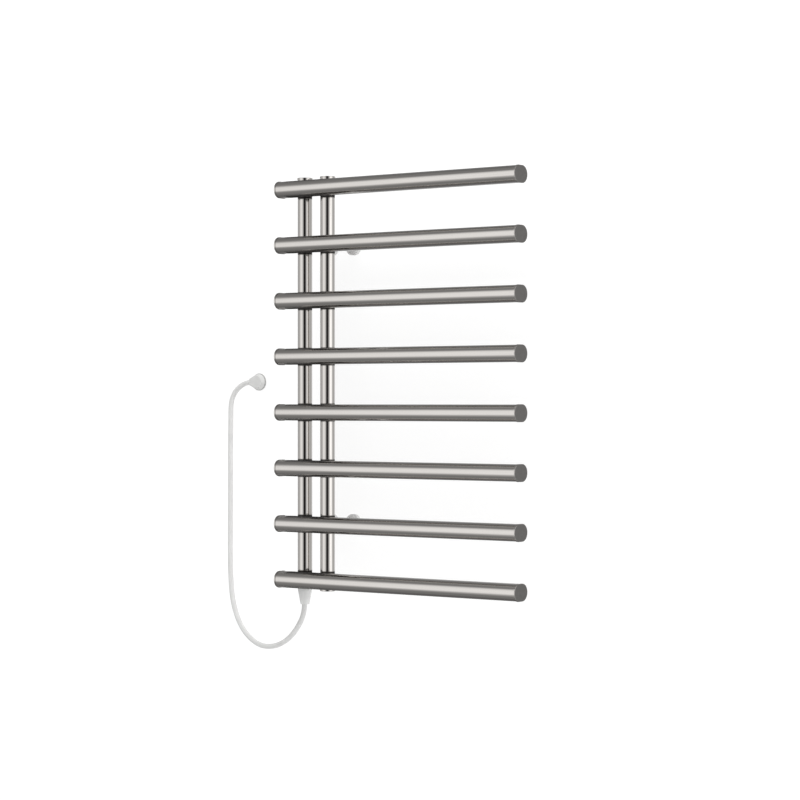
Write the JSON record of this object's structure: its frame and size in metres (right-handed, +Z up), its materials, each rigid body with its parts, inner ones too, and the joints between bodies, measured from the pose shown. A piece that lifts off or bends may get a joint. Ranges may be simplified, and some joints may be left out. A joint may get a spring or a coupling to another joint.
{
  "type": "towel warmer rack",
  "caption": "Wall-hung electric towel warmer: flat-oval polished bars cantilevered from round posts on wall standoffs, with a white supply cord, strain relief and flat mains plug.",
  "frame": {"origin": "on the wall plane, at the centre of the rectangle of the four wall screw holes: midway between the two posts, and midway between the fourth and fifth bars", "axes": "+Z up along the posts, +X along the bars towards their free ends, +Y into the wall, -Y into the room"},
  "size_m": [0.6955, 0.1403, 0.8296],
  "materials": {
    "polished_steel": "polished stainless steel, soft mirror",
    "cap_steel": "polished stainless steel pressing",
    "fixing_steel": "polished turned steel",
    "screw_steel": "plain steel",
    "brass_parts": "plain turned brass",
    "element_sheath": "satin metal sheath",
    "mica_board": "mica board",
    "grommet_rubber": "soft silicone",
    "wire_jacket": "silicone wire sleeve",
    "limiter_case": "moulded case",
    "terminal_plastic": "moulded terminal block",
    "gland_metal": "turned satin metal",
    "white_plastic": "white moulding, slight sheen",
    "cord_jacket": "white flexible sheath",
    "blade_metal": "plated brass"
  },
  "bodies": {
    "root": {"bar_1": "polished_steel", "bar_2": "polished_steel", "bar_3": "polished_steel", "bar_4": "polished_steel", "bar_5": "polished_steel", "bar_6": "polished_steel", "bar_7": "polished_steel", "bar_8": "polished_steel", "bar_cap_left_1": "cap_steel", "bar_cap_right_1": "cap_steel", "bar_cap_left_2": "cap_steel", "bar_cap_right_2": "cap_steel", "bar_cap_left_3": "cap_steel", "bar_cap_right_3": "cap_steel", "bar_cap_left_4": "cap_steel", "bar_cap_right_4": "cap_steel", "bar_cap_left_5": "cap_steel", "bar_cap_right_5": "cap_steel", "bar_cap_left_6": "cap_steel", "bar_cap_right_6": "cap_steel", "bar_cap_left_7": "cap_steel", "bar_cap_right_7": "cap_steel", "bar_cap_left_8": "cap_steel", "bar_cap_right_8": "cap_steel", "post_left": "polished_steel", "post_top_cap_left": "cap_steel", "post_right": "polished_steel", "post_top_cap_right": "cap_steel", "post_bottom_cap_right": "cap_steel", "wall_anchor_upper_left": "fixing_steel", "standoff_upper_left": "fixing_steel", "wall_anchor_upper_right": "fixing_steel", "standoff_upper_right": "fixing_steel", "wall_anchor_lower_left": "fixing_steel", "standoff_lower_left": "fixing_steel", "wall_anchor_lower_right": "fixing_steel", "standoff_lower_right": "fixing_steel", "post_inserts": "brass_parts", "grub_screws": "screw_steel", "heating_element_1": "element_sheath", "heating_element_2": "element_sheath", "heating_element_3": "element_sheath", "heating_element_4": "element_sheath", "heating_element_5": "element_sheath", "heating_element_6": "element_sheath", "heating_element_7": "element_sheath", "heating_element_8": "element_sheath", "element_spacers": "mica_board", "wiring_grommets": "grommet_rubber", "supply_harness": "wire_jacket", "thermal_limiter": "limiter_case", "terminal_block": "terminal_plastic", "supply_leads": "wire_jacket", "earth_tag": "brass_parts", "earth_screw": "brass_parts", "gland_insert": "gland_metal", "strain_relief": "white_plastic", "cord": "cord_jacket", "plug_body": "white_plastic", "plug_blades": "blade_metal"}
  },
  "joints": []
}
